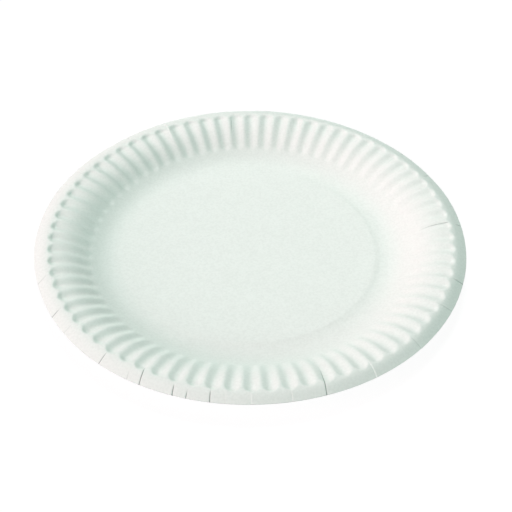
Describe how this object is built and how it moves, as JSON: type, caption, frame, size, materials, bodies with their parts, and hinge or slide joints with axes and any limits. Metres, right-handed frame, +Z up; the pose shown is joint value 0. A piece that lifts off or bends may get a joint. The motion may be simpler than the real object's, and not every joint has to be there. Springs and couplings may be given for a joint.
{
  "type": "paper plate",
  "caption": "Round white paper plate with a flat floor, a low fluted wall and a rolled rim, pressed from one sheet of board.",
  "frame": {"origin": "middle of the floor's underside, on the surface that the plate stands on", "axes": "+Z up along the plate's axis; X and Y lie in the plane of the floor, with a flute's ridge at +X"},
  "size_m": [0.23, 0.23, 0.0116],
  "materials": {
    "plate_board": "smooth white clay-coated board, matt to eggshell, with fine pressed pleats at the rim"
  },
  "bodies": {
    "root": {"plate": "plate_board"}
  },
  "joints": []
}
